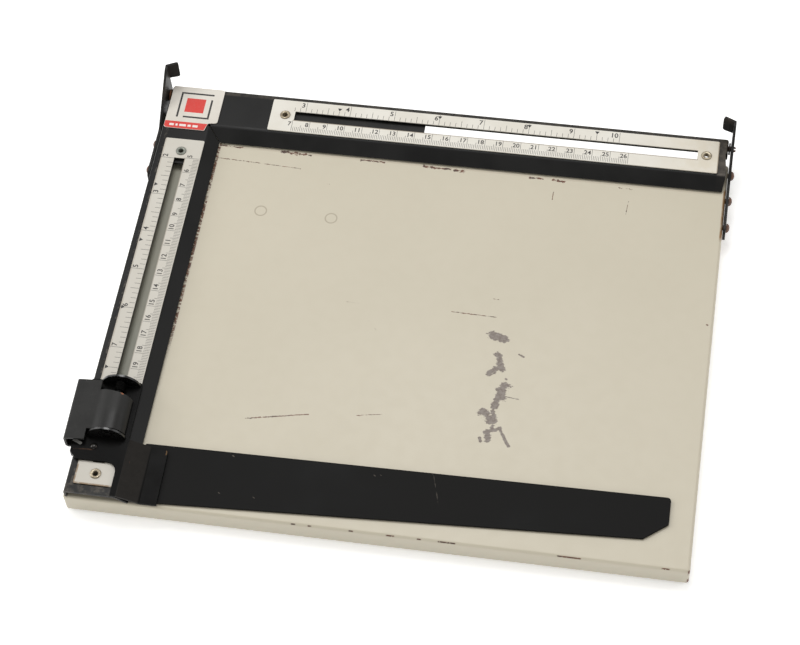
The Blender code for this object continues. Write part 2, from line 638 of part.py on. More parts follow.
def lock_lever(look, group):
    """A folded lever: thumb plate with a turned-down outer edge, and a saddle over the pin."""
    section = lever_section()
    bm = bmesh.new()
    stations = (LEVER_REAR, SADDLE_REAR, SADDLE_FRONT, LEVER_FRONT)

    def skew(u, v):
        return v - SADDLE_SKEW * max(0.0, u - THUMB_RIGHT) if v == SADDLE_REAR else v

    rows = [[bm.verts.new(at(u, skew(u, v), h)) for u, h in section] for v in stations]
    for band, right in enumerate((THUMB_RIGHT, 99.0, THUMB_NOTCH)):
        for i in range(len(section) - 1):
            if section[i][0] > right - 0.01:
                continue
            bm.faces.new((rows[band][i], rows[band + 1][i], rows[band + 1][i + 1],
                          rows[band][i + 1]))
    loose = [vert for vert in bm.verts if not vert.link_faces]
    bmesh.ops.delete(bm, geom=loose, context="VERTS")
    bmesh.ops.recalc_face_normals(bm, faces=bm.faces)
    widest = max(bm.faces, key=lambda f: f.calc_area())
    if widest.normal.z < 0:
        bmesh.ops.reverse_faces(bm, faces=bm.faces)
    piece = place("lock_lever", finish_bmesh(bm, "lever"), look, at(PIN_U, STEM_V, PIN_H), group)
    solidify(piece, LEVER_SHEET)
    lug = ((8.0, 24.8), (11.6, 24.8), (13.0, 23.3), (15.6, 23.5), (16.6, 25.0), (16.6, 28.2),
           (10.2, 28.5), (8.0, 27.7))
    for name, v in (("rear", LUG_REAR), ("front", LUG_FRONT)):
        mesh = prism_mesh("lug", [lug], LEVER_SHEET, front_to_world(v))
        boolean(piece, cutter(f"lever_lug_{name}", mesh, group), "UNION")
    nub = cylinder_mesh("nub", 1.6, 1.8, side_to_world(-9.0)
                        @ Matrix.Translation((-221.5 * MM, 20.6 * MM, 0)))
    boolean(piece, cutter("lever_nub", nub, group), "UNION")
    tongue = box_mesh("tongue", (8.2, LUG_FRONT + 0.1, 24.95), (12.0, LUG_REAR - 0.1, 25.95))
    boolean(piece, cutter("lever_tongue", tongue, group), "UNION")
    pin_hole = cylinder_mesh("hole", PIN_RADIUS + HOLE_PLAY, 60.0, front_to_world(STEM_V)
                             @ Matrix.Translation((PIN_U * MM, PIN_H * MM, 0)))
    boolean(piece, cutter("lever_pin_hole", pin_hole, group))
    fork = cylinder_mesh("hole", STEM_RADIUS + 0.4, 4.0, Matrix.Translation(at(STEM_U, STEM_V, 25.4)))
    boolean(piece, cutter("lever_fork", fork, group))
    smooth(piece, 40.0)


def torsion_spring(look, group):
    """Wire coiled round the pin; one leg lies on the carriage, the other lifts the thumb plate."""
    wire, coil, turns, pitch, per_turn = 0.38, 2.25, 5, 1.0, 14
    first = -202.4
    points = [(20.2, first, 22.75)]
    start = -0.35 * math.pi
    for i in range(turns * per_turn + 1):
        angle = start - 2 * math.pi * i / per_turn
        v = first - pitch * i / per_turn
        points.append((PIN_U + coil * math.cos(angle), v, PIN_H + coil * math.sin(angle)))
    last = points[-1]
    points.append((last[0] - 4.0, last[1] - 0.3, 23.0))
    points.append((1.6, last[1] - 0.3, 23.1))
    curve = bpy.data.curves.new("torsion_spring", "CURVE")
    curve.dimensions = "3D"
    curve.bevel_depth = wire * MM
    curve.bevel_resolution = 1
    curve.use_fill_caps = True
    spline = curve.splines.new("POLY")
    spline.points.add(len(points) - 1)
    middle = at(PIN_U, STEM_V, PIN_H)
    for point, reading in zip(spline.points, points):
        point.co = (*(at(*reading) - middle), 1)
    curve.materials.append(look)
    piece = bpy.data.objects.new("torsion_spring", curve)
    parts.objects.link(piece)
    piece.parent = group
    piece.location = middle - group.location


def clamp_stem(look, group):
    profile = ((0, 0.6), (1.5, 0.55), (1.7, 0.35), (1.7, 0.0), (STEM_RADIUS, 0.0),
               (STEM_RADIUS, -9.5), (1.6, -9.5), (1.6, -9.9), (1.2, -10.2), (0, -10.2))
    turned("clamp_stem", profile, look, at(STEM_U, STEM_V, 26.3), (0, 0, 1), group)


def clamp_plate(look, group):
    """The plate pulled up against the arm's underside, with a rib that keeps it in the slot."""
    top = ARM_TOP - ARM_SHEET - GAP
    mesh = prism_mesh("clamp", [rounded([(4.5, -232.5, 1.5), (18.5, -232.5, 1.5), (18.5, -208.5, 1.5),
                                         (4.5, -208.5, 1.5)])], 1.5, plan_to_world(top - 0.75))
    piece = place("clamp_plate", mesh, look, at(STEM_U, STEM_V, top), group)
    rib = box_mesh("rib", (8.95, STEM_V - 6, top - 0.7), (14.05, STEM_V + 6, top + 1.3))
    boolean(piece, cutter("clamp_rib", rib, group), "UNION")
    hole = cylinder_mesh("hole", STEM_RADIUS + HOLE_PLAY, 8.0, Matrix.Translation(at(STEM_U, STEM_V, top)))
    boolean(piece, cutter("clamp_hole", hole, group))


# -------------------------------------------------------------- assembly

for old in list(bpy.data.objects):
    bpy.data.objects.remove(old)

parts = collection("enlarging_easel")
cutters = collection("cutters")
guides = collection("guides")

cream = material("cream_paint", (0.62, 0.58, 0.47), 0.45, 0.0)
black = material("black_paint", (0.025, 0.024, 0.023), 0.38, 0.0)
raw_steel = material("zinc_steel", (0.42, 0.41, 0.39), 0.4, 1.0)
rusty = material("rusty_steel", (0.22, 0.13, 0.09), 0.6, 0.6)
brass = material("brass", (0.55, 0.43, 0.26), 0.35, 1.0)
plate_white = material("printed_plate", (0.70, 0.67, 0.58), 0.4, 0.2)
label = material("label_plate", (0.72, 0.70, 0.63), 0.35, 0.3)
rubber = material("rubber", (0.02, 0.02, 0.02), 0.8, 0.0)
spring_steel = material("spring_steel", (0.35, 0.33, 0.31), 0.35, 1.0)

base_tray(cream)
rubber_feet(rubber)
for hand in ("left", "right"):
    hinge_strap(hand, black)
    strap_rivets(hand, rusty)
    pivot_screw(hand, raw_steel)
    pivot_washer(hand, raw_steel)

top_arm(black)
side_arm(black)
corner_gusset(black)
scale_plate("top_scale", TOP_PLATE, TOP_SLOT, TOP_EYELETS, plate_white)
scale_plate("side_scale", SIDE_PLATE, SIDE_SLOT, SIDE_EYELETS, plate_white)
one_sheet = PLATE_GAP + PLATE_SHEET + ARM_SHEET
two_sheets = one_sheet + GAP + ARM_SHEET
eyelet("eyelet_top_left", *TOP_EYELETS[0], two_sheets, brass)
eyelet("eyelet_top_right", *TOP_EYELETS[1], one_sheet, brass)
eyelet("eyelet_side_rear", *SIDE_EYELETS[0], two_sheets, brass)
eyelet("eyelet_side_front", *SIDE_EYELETS[1], one_sheet, brass)
corner_badge(label)

carriage = bpy.data.objects.new("carriage_turn", None)
parts.objects.link(carriage)
carriage.location = at(STEM_U, STEM_V, CARRIAGE_TOP)
carriage.rotation_euler = (0, 0, math.radians(CARRIAGE_PLAY_DEG))
carriage_plate(black, carriage)
blade(black, carriage)
lever_pin(raw_steel, carriage)
lock_lever(black, carriage)
torsion_spring(spring_steel, carriage)
clamp_stem(raw_steel, carriage)
clamp_plate(raw_steel, carriage)
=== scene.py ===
"""How the enlarging easel looks: enamel, printed scales, fittings, wear, light and camera.

Lengths are in millimetres until they reach Blender. A place is given as the real easel is read: u runs
right along the top scale, v runs to the rear along the side scale (so the front is negative), and h is
the height above the table. at() turns them into the frame's metres.
"""

import json
import math

import bmesh
import bpy
from mathutils import Matrix, Quaternion, Vector

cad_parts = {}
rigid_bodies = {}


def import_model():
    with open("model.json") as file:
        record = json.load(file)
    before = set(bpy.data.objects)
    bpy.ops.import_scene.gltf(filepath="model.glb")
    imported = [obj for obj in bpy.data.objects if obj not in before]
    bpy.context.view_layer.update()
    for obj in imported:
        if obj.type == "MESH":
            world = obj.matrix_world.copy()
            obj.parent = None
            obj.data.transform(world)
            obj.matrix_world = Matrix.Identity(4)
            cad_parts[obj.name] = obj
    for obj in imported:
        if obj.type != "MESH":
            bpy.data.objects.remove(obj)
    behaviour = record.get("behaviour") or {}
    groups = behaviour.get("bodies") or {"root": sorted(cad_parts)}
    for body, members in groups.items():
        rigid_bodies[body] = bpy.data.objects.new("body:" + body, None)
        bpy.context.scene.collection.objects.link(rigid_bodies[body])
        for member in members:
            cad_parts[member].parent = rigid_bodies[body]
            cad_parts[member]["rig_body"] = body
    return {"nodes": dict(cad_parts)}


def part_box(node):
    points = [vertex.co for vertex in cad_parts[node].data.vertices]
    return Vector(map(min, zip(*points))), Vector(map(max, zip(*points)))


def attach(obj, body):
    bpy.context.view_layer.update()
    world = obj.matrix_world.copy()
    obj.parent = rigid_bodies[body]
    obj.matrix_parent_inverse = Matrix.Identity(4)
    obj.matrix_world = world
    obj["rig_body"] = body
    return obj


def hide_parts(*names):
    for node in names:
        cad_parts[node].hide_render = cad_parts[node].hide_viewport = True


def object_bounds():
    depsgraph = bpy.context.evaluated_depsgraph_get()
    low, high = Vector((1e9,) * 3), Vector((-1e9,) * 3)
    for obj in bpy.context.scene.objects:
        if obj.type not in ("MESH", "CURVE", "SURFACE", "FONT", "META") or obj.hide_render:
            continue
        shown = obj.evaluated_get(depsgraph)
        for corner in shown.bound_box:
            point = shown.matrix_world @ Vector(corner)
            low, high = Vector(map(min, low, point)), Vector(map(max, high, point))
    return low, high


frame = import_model()
cad_low, cad_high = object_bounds()

MM = 0.001
INCH = 25.4

# The scales' zero lies where the left end of one plate and the rear end of the other place it
TOP_PLATE_LEFT_U = 56.6
SIDE_PLATE_REAR_V = -37.0
ZERO = Vector((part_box("top_scale")[0].x - TOP_PLATE_LEFT_U * MM,
               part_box("side_scale")[1].y - SIDE_PLATE_REAR_V * MM, 0.0))


def at(u, v, h):
    """The place of a reading, in the frame's metres."""
    return ZERO + Vector((u, v, h)) * MM


def readings(node):
    """A node's lowest and highest corners, each as its (u, v, h)."""
    return [(corner - ZERO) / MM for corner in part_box(node)]


# The tray, and the heights of the faces that carry wear and ink
TRAY_LOW, TRAY_HIGH = readings("base_tray")
BASE_TOP = TRAY_HIGH.z
PLATE_TOP = readings("top_scale")[1].z
BADGE_TOP = readings("corner_badge")[1].z

# Edges that the wear follows
ARM_REAR_V = 0.2
ARM_FRONT_V = -263.8
ARM_LEFT_U = 0.2
ARM_RIGHT_U = 311.8
SKIRT_FOOT_U = 30.6
SKIRT_FOOT_V = -33.9
TRAY_FRONT_V = TRAY_LOW.y
TRAY_RIGHT_U = TRAY_HIGH.x - 0.2
STRAP_INNER_U = 315.1
TOP_PLATE_BROWN = (((70.4, -16.2), (297.9, -16.2)), ((309.5, -2.6), (309.5, -24.1)))
SIDE_PLATE_BROWN = (((14.6, -50.3), (14.6, -247.8)),)

# Parts of the slide, each as its middle and half its width
SLIDE_FLAT = (9.5, 15.0)
SLIDE_SLOPE = (30.1, 5.0)
SLIDE_FOOT = (40.6, 4.4)
EARS_FROM = PLATE_TOP + 2.5

# Printing
INK_HEIGHT = 0.02
TICK_WIDTH = 0.20
NUMBER_BOLDNESS = 0.07
CM_NUMBER = 4.0
TOP_INCH_NUMBER = 4.4
SIDE_INCH_NUMBER = 4.1
MARKER_LENGTH = 2.0
MARKER_HALF_WIDTH = 1.25
CM_TICKS = (7.3, 4.4, 3.0)
INCH_TICKS = (7.0, 4.3, 2.7)
SIDE_TICKS_LONGER = 0.4
TOP_PAPER_SIZES = ((3.75, 3.4), (6.0, 2.0), (8.0, 2.0), (9.5, 2.0))
SIDE_PAPER_SIZES = (2.75, 4.25, 6.0, 7.5)
TOP_SLOT_REAR = -9.8
SIDE_SLOT_LEFT = 8.4

# Turned fittings
RIVET_RADIUS = 2.6
RIVET_DOME = 1.8
RIVET_TAIL = 0.8
STUD_PLACE = (7.2, -239.4)
STUD_RADIUS = 2.0
STUD_DOME = 1.2
CARRIAGE_RISE = 1.4
EYELET_BORE = 1.35
EYELET_ROLL = 0.8
EYELET_RISE = 0.5


# ------------------------------------------------------------- materials

class Look:
    """A material under construction. A mask or colour made by one method can be given to the next."""

    def __init__(self, name, **sockets):
        self.material = bpy.data.materials.new(name)
        self.material.use_nodes = True
        self.tree = self.material.node_tree
        self.shader = self.tree.nodes["Principled BSDF"]
        for socket, value in sockets.items():
            self.shader.inputs[socket.replace("_", " ")].default_value = value
        self.place = self.node("ShaderNodeTexCoord").outputs["Object"]

    def node(self, kind, **settings):
        made = self.tree.nodes.new(kind)
        for key, value in settings.items():
            setattr(made, key, value)
        return made

    def put(self, value, socket):
        if isinstance(value, bpy.types.NodeSocket):
            self.tree.links.new(value, socket)
        else:
            socket.default_value = value

    def math(self, operation, a, b=0.0, c=0.0, clamp=False):
        made = self.node("ShaderNodeMath", operation=operation, use_clamp=clamp)
        for value, socket in zip((a, b, c), made.inputs):
            self.put(value, socket)
        return made.outputs[0]

    def vector(self, operation, a, b=None, scale=None):
        made = self.node("ShaderNodeVectorMath", operation=operation)
        self.put(a, made.inputs[0])
        if b is not None:
            self.put(b, made.inputs[1])
        if scale is not None:
            self.put(scale, made.inputs["Scale"])
        return made.outputs["Value" if operation in ("LENGTH", "DOT_PRODUCT") else "Vector"]

    def noise(self, per_metre, detail=3.0, roughness=0.55, stretch=(1, 1, 1)):
        """Soft random patches, from 0 to 1 and mostly near 0.5."""
        mapping = self.node("ShaderNodeMapping")
        mapping.inputs["Scale"].default_value = stretch
        self.put(self.place, mapping.inputs["Vector"])
        made = self.node("ShaderNodeTexNoise")
        made.inputs["Scale"].default_value = per_metre
        made.inputs["Detail"].default_value = detail
        made.inputs["Roughness"].default_value = roughness
        self.put(mapping.outputs[0], made.inputs["Vector"])
        return made.outputs["Fac"]

    def step(self, value, low, high, to_low=0.0, to_high=1.0):
        """to_low below low, to_high above high, and a smooth change between."""
        made = self.node("ShaderNodeMapRange", interpolation_type="SMOOTHSTEP")
        for key, number in (("From Min", low), ("From Max", high), ("To Min", to_low),
                            ("To Max", to_high)):
            made.inputs[key].default_value = number
        self.put(value, made.inputs["Value"])
        return made.outputs["Result"]

    def mix(self, amount, a, b):
        made = self.node("ShaderNodeMix", data_type="RGBA")
        self.put(amount, made.inputs[0])
        self.put(a if isinstance(a, bpy.types.NodeSocket) else (*a, 1.0), made.inputs[6])
        self.put(b if isinstance(b, bpy.types.NodeSocket) else (*b, 1.0), made.inputs[7])
        return made.outputs[2]

    def both(self, *masks):
        """Where all of the masks are; a plain number among them makes the result weaker."""
        total = masks[0]
        for mask in masks[1:]:
            total = self.math("MULTIPLY", total, mask)
        return total

    def any_of(self, masks):
        """The strongest of several masks, each merged as soon as it is made to keep the shader light."""
        total = None
        for mask in masks:
            total = mask if total is None else self.math("MAXIMUM", total, mask)
        return total

    def axis(self, letter):
        """One of the object's coordinates, in metres."""
        if not hasattr(self, "split"):
            self.split = self.node("ShaderNodeSeparateXYZ")
            self.put(self.place, self.split.inputs[0])
        return self.split.outputs[letter]

    def band(self, letter, middle, half, soft):
        """1 within half of middle (in metres) along an axis, fading over soft; both in millimetres."""
        off = self.math("ABSOLUTE", self.math("SUBTRACT", self.axis(letter), middle))
        return self.step(off, half * MM, (half + soft) * MM, 1.0, 0.0)

    def across_u(self, middle, half, soft):
        """A strip from front to rear, with its middle at a reading of the top scale."""
        return self.band("X", at(middle, 0, 0).x, half, soft)

    def across_v(self, middle, half, soft):
        """A strip from left to right, with its middle at a reading of the side scale."""
        return self.band("Y", at(0, middle, 0).y, half, soft)

    def across_h(self, middle, half, soft):
        """A level strip, with its middle at a height above the table."""
        return self.band("Z", middle * MM, half, soft)

    def reach(self, start, end):
        """The distance from the stretch between two (u, v) readings, seen from above."""
        if not hasattr(self, "flat"):
            self.flat = self.vector("MULTIPLY", self.place, (1.0, 1.0, 0.0))
        a, b = at(*start, 0.0), at(*end, 0.0)
        along = b - a if (b - a).length > 1e-9 else Vector((1e-9, 0, 0))
        from_a = self.vector("SUBTRACT", self.flat, tuple(a))
        share = self.vector("DOT_PRODUCT", from_a, tuple(along / along.length_squared))
        share = self.math("ADD", share, 0.0, clamp=True)
        nearest = self.vector("SCALE", tuple(along), scale=share)
        return self.vector("LENGTH", self.vector("SUBTRACT", from_a, nearest))

    def mark(self, start, end, half_width, ragged, roughen):
        """A worn place along a stretch: ragged is a noise, roughen how far it eats the outline (mm)."""
        off = self.math("MULTIPLY_ADD", ragged, roughen * 2.0 * MM, -roughen * MM)
        off = self.math("ADD", self.reach(start, end), off)
        return self.step(off, (half_width - 0.07) * MM, (half_width + 0.07) * MM, 1.0, 0.0)

    def marks(self, ragged, places):
        """Worn places, each given as its start, its end, its half width and how ragged it is."""
        return self.any_of(self.mark(start, end, half, ragged, rough)
                           for start, end, half, rough in places)

    def finish(self, colour, roughness, metallic=None, height=None, depth=0.0):
        """Joins everything to the shader: height is a noise, and depth its relief in millimetres."""
        self.put(colour, self.shader.inputs["Base Color"])
        self.put(roughness, self.shader.inputs["Roughness"])
        if metallic is not None:
            self.put(metallic, self.shader.inputs["Metallic"])
        if height is not None:
            bump = self.node("ShaderNodeBump")
            bump.inputs["Distance"].default_value = depth * MM
            bump.inputs["Strength"].default_value = 1.0
            self.put(height, bump.inputs["Height"])
            self.put(bump.outputs[0], self.shader.inputs["Normal"])
        return self.material


DARK_RUST = (0.050, 0.018, 0.008)
RUST = (0.125, 0.036, 0.010)
LIGHT_RUST = (0.22, 0.12, 0.075)
BARE_STEEL = (0.255, 0.222, 0.195)
DARK_STEEL = (0.18, 0.145, 0.12)

# Worn places, each from one (u, v) reading to another, with its half width and how ragged it is
BARE_PATCHES = (
    ((200.5, -141.0), (207.0, -141.6), 2.5, 6.5),
    ((197.0, -140.2), (199.5, -140.6), 0.4, 1.5),
    ((205.0, -152.0), (208.0, -160.5), 1.7, 5.0),
    ((207.0, -159.5), (201.5, -164.5), 1.4, 4.0),
    ((216.0, -151.0), (218.5, -152.3), 0.5, 1.6),
    ((211.0, -166.9), (211.4, -167.2), 0.6, 0.8),
    ((210.5, -171.5), (209.5, -177.5), 2.7, 6.0),
    ((212.0, -177.6), (219.0, -178.4), 0.25, 1.2),
    ((208.3, -178.0), (206.8, -187.0), 1.6, 4.0),
    ((202.5, -188.5), (207.5, -193.5), 2.2, 6.0),
    ((207.2, -187.0), (208.0, -196.5), 1.0, 3.5),
    ((212.0, -197.0), (204.5, -200.5), 1.1, 3.5),
    ((206.0, -200.5), (206.5, -204.5), 1.9, 4.5),
    ((202.3, -204.0), (202.9, -205.6), 1.0, 1.6),
    ((211.8, -197.5), (217.5, -207.0), 0.75, 1.8),
)
RUST_MARKS = (
    ((31.0, -42.6), (50.0, -43.3), 0.20, 0.9),
    ((50.0, -43.3), (79.0, -44.6), 0.14, 1.0),
    ((80.0, -208.2), (112.0, -201.6), 0.28, 1.0),
    ((137.0, -199.0), (150.0, -196.6), 0.08, 0.9),
    ((177.0, -128.8), (201.0, -129.3), 0.20, 0.8),
    ((120.0, -129.5), (127.0, -130.0), 0.06, 0.8),
    ((130.0, -136.0), (139.0, -146.0), -0.08, 0.8),
    ((198.0, -117.9), (202.0, -118.0), 0.10, 0.7),
    ((221.4, -43.3), (221.3, -48.4), 0.22, 0.5),
    ((263.0, -44.5), (262.4, -53.6), 0.12, 0.7),
    ((312.0, -119.8), (312.5, -120.1), 0.4, 0.3),
    ((95.5, -53.2), (97.0, -53.2), 0.05, 0.5),
)
SKIRT_RUST = (
    ((31.2, -33.7), (37.0, -33.8), 0.40, 2.0),
    ((37.0, -34.0), (45.0, -34.0), 0.30, 2.0),
    ((66.5, -34.0), (83.0, -34.5), 0.58, 3.4),
    ((112.0, -34.3), (125.0, -34.5), 0.28, 2.4),
    ((147.5, -34.6), (170.0, -35.1), 0.50, 3.4),
    ((207.5, -35.1), (214.5, -35.3), 0.50, 3.0),
    ((220.0, -35.2), (226.5, -35.5), 0.50, 3.0),
    ((257.0, -35.7), (264.0, -36.1), 0.15, 2.2),
)
SLIDE_RUST = (
    ((27.2, -245.2), (27.5, -245.9), 0.1, 0.6),
    ((-3.0, -242.0), (8.0, -241.2), 0.22, 0.9),
    ((19.0, -208.6), (20.6, -210.6), 0.5, 1.6),
)

# The blade's scratch and nicks, the stretches of the front fold that are chipped, and the rings' middles
BLADE_SCRATCH = ((182.0, -229.0), (187.0, -246.0))
BLADE_NICKS = ((75, -254.0), (93, -254.2), (152, -233.5), (155, -232.8), (78, -231.8))
FOLD_CHIPS = ((115.0, 116.4), (123.6, 124.6), (144.6, 146.0), (163.6, 167.0), (179.4, 180.6),
              (190.0, 198.0), (250.0, 261.0), (302.0, 305.0))
PRESSED_RINGS = ((62.3, -76.0), (102.0, -76.2))
RING_RADIUS = 3.2


def aged_cream(look, broad, mottle):
    """The sound paint with two rings: darker down the sides as painted shade, and darker and more green
    under the side arm, partly painted shade and partly paint the arm kept from yellowing.
    """
    broad_step = look.step(broad, 0.3, 0.7)
    colour = look.mix(broad_step, (0.538, 0.490, 0.378), (0.555, 0.506, 0.394))
    colour = look.mix(look.step(mottle, 0.35, 0.75, 0.0, 0.04), colour, (0.45, 0.40, 0.31))
    # Painted shade: the sides below the tray's top are darkened, as they face away from the light.
    side = look.step(look.axis("Z"), (BASE_TOP - 2.2) * MM, (BASE_TOP - 0.4) * MM, 0.30, 0.0)
    colour = look.mix(side, colour, (0.42, 0.39, 0.32))
    # Painted shade under the side arm, seen through its slot, tinted more green where the paint is taken
    # to have yellowed less.
    shade_under_arm = look.both(look.across_u(11.5, 9.0, 2.0), look.across_v(-150.0, 106.0, 3.0))
    shaded_green_tint = look.mix(broad_step, (0.345, 0.343, 0.272), (0.385, 0.366, 0.280))
    colour = look.mix(shade_under_arm, colour, shaded_green_tint)
    for spot in PRESSED_RINGS:
        off = look.math("ABSOLUTE", look.math("SUBTRACT", look.reach(spot, spot), RING_RADIUS * MM))
        colour = look.mix(look.step(off, 0.18 * MM, 0.55 * MM, 0.75, 0.0), colour, (0.34, 0.29, 0.21))
    skirt_line = look.across_v(SKIRT_FOOT_V, 0.35, 0.5)
    return look.mix(look.both(skirt_line, 0.35), colour, (0.44, 0.37, 0.28))


def tray_rust(look, colour, ragged, rust_tone):
    """Rust along the feet of the frame's skirts, in scratches and in scattered dots."""
    patchy = look.noise(420.0, detail=5.0, roughness=0.8, stretch=(0.7, 1.0, 1.0))
    colour = look.mix(look.marks(patchy, SKIRT_RUST), colour, rust_tone)
    inner_line = look.both(look.across_u(SKIRT_FOOT_U, 0.60, 0.30), look.across_v(-92.0, 62.0, 25.0))
    line_tone = look.mix(look.step(ragged, 0.4, 0.6), (0.150, 0.050, 0.010), (0.055, 0.019, 0.006))
    colour = look.mix(look.both(inner_line, look.step(patchy, 0.46, 0.49)), colour, line_tone)
    dots = look.step(look.noise(70.0, detail=5.0, roughness=0.75), 0.735, 0.75)
    colour = look.mix(look.both(dots, look.across_h(BASE_TOP, 0.5, 0.1)), colour, rust_tone)
    return look.mix(look.both(look.marks(ragged, RUST_MARKS), 0.92), colour, rust_tone)


def tray_chips(look, colour, ragged, coarse, rust_tone):
    """Chips on the front fold and at the front right corner, and a brown line along the right strap."""
    front = look.both(look.across_v(TRAY_FRONT_V, 1.2, 0.3), look.across_h(BASE_TOP - 0.55, 0.22, 0.12))
    chips = look.any_of(look.across_u((a + b) / 2, (b - a) / 2, 0.8) for a, b in FOLD_CHIPS)
    chips = look.both(chips, front, look.step(ragged, 0.38, 0.44))
    colour = look.mix(chips, colour, rust_tone)
    corner = look.both(look.across_u(TRAY_RIGHT_U, 0.7, 0.3), look.across_v(-268.0, 5.0, 2.0),
                       look.step(coarse, 0.52, 0.55))
    colour = look.mix(corner, colour, rust_tone)
    strap_line = look.both(look.across_u(STRAP_INNER_U, 0.7, 0.5), look.across_v(-47.0, 15.0, 4.0),
                           look.step(coarse, 0.35, 0.55, 0.45, 1.0))
    return look.mix(strap_line, colour, (0.24, 0.13, 0.05))


def cream_enamel():
    """The tray's old cream paint, with painted shade on its sides and under the side arm, and its bare
    patches, rust, scratches and chipped folds.
    """
    look = Look("cream_enamel", Coat_Weight=0.12, Coat_Roughness=0.3)
    broad = look.noise(9.0, detail=2.0)
    mottle = look.noise(160.0, detail=4.0, roughness=0.6)
    ragged = look.noise(650.0, detail=5.0, roughness=0.75)
    coarse = look.noise(150.0, detail=3.0, roughness=0.6)
    colour = aged_cream(look, broad, mottle)
    flaked = look.noise(230.0, detail=6.0, roughness=0.78, stretch=(0.55, 1.0, 1.0))
    bare = look.marks(flaked, BARE_PATCHES)
    colour = look.mix(bare, colour, look.mix(look.step(ragged, 0.4, 0.62), BARE_STEEL, DARK_STEEL))
    rust_tone = look.mix(look.step(coarse, 0.4, 0.6), DARK_RUST, RUST)
    colour = tray_rust(look, colour, ragged, rust_tone)
    colour = tray_chips(look, colour, ragged, coarse, rust_tone)
    gloss = look.math("ADD", look.step(mottle, 0.3, 0.7, 0.42, 0.47), look.both(bare, 0.2))
    height = look.noise(700.0, detail=3.0)
    return look.finish(colour, gloss, height=height, depth=0.010)


class BlackEnamel(Look):
    """Old satin black paint: two tones in soft patches, a fine grain and uneven gloss."""

    def __init__(self, name, tones, patches, grain=520.0, specular=0.22):
        super().__init__(name, Specular_IOR_Level=specular)
        self.broad = self.noise(patches, detail=3.0)
        self.fine = self.noise(grain, detail=3.0, roughness=0.65)
        self.tone = self.mix(self.step(self.broad, 0.35, 0.7), *tones)

    def dried(self, colour, glossy, dull, depth=0.012):
        gloss = self.step(self.broad, 0.3, 0.7, glossy, dull)
        return self.finish(colour, gloss, height=self.fine, depth=depth)


def plain_enamel(name, tint=(0.0090, 0.0088, 0.0083), dust=0.5, rub=0.0, specular=0.22):
    """The paint of the small steel pieces: faint dust, specks and thin brown rubbing."""
    look = BlackEnamel(name, (tint, tuple(c * 1.9 for c in tint)), 38.0, specular=specular)
    specks = look.step(look.noise(260.0, detail=2.0, roughness=0.8), 0.755, 0.775)
    colour = look.mix(look.step(look.fine, 0.45, 0.8, 0.0, 0.10 * dust), look.tone, (0.16, 0.145, 0.125))
    colour = look.mix(look.both(specks, 0.35 * dust), colour, (0.23, 0.20, 0.17))
    if rub > 0:
        streaks = look.noise(70.0, detail=5.0, roughness=0.7, stretch=(1, 0.25, 1))
        colour = look.mix(look.step(streaks, 0.52, 0.78, 0.0, rub), colour, (0.115, 0.082, 0.058))
    return look.dried(colour, 0.34, 0.48)


def lever_enamel():
    """The lever's paint, with one rusty spot at the saddle's rear edge."""
    look = BlackEnamel("lever_enamel", ((0.0150, 0.0147, 0.0140), (0.0200, 0.0196, 0.0185)), 60.0)
    colour = look.mix(look.step(look.fine, 0.50, 0.80, 0.0, 0.05), look.tone, (0.16, 0.145, 0.125))
    spot = look.mark((15.9, -209.8), (16.9, -210.3), 0.45, look.fine, 0.5)
    colour = look.mix(look.both(spot, 0.8), colour, (0.33, 0.13, 0.065))
    return look.dried(colour, 0.34, 0.48)


def arm_enamel():
    """The frame's paint, rubbed brown along the rear fold, at both ends and on the outer left edge."""
    look = BlackEnamel("arm_enamel", ((0.0060, 0.0059, 0.0056), (0.0095, 0.0093, 0.0088)), 30.0)
    ragged = look.noise(260.0, detail=4.0, roughness=0.7)
    rear = look.both(look.across_v(ARM_REAR_V, 2.0, 1.2), look.step(ragged, 0.35, 0.65, 0.10, 0.45))
    front = look.both(look.across_v(ARM_FRONT_V, 2.4, 0.8), look.step(ragged, 0.42, 0.68, 0.0, 0.6))
    left = look.both(look.across_u(ARM_LEFT_U, 0.5, 0.5), look.step(ragged, 0.48, 0.66, 0.0, 0.6))
    right = look.both(look.across_u(ARM_RIGHT_U, 2.0, 0.6), look.step(ragged, 0.30, 0.70, 0.35, 0.85))
    upper = look.step(look.axis("Z"), (PLATE_TOP - 1.2) * MM, (PLATE_TOP - 0.8) * MM, 0.06, 1.0)
    rubbed = look.any_of([rear, front, left, look.both(right, upper)])
    colour = look.mix(rubbed, look.tone, (0.105, 0.090, 0.072))
    streaks = look.noise(110.0, detail=5.0, roughness=0.8, stretch=(0.2, 1, 1))
    colour = look.mix(look.step(streaks, 0.66, 0.72, 0.0, 0.25), colour, (0.075, 0.068, 0.060))
    return look.dried(colour, 0.34, 0.46)


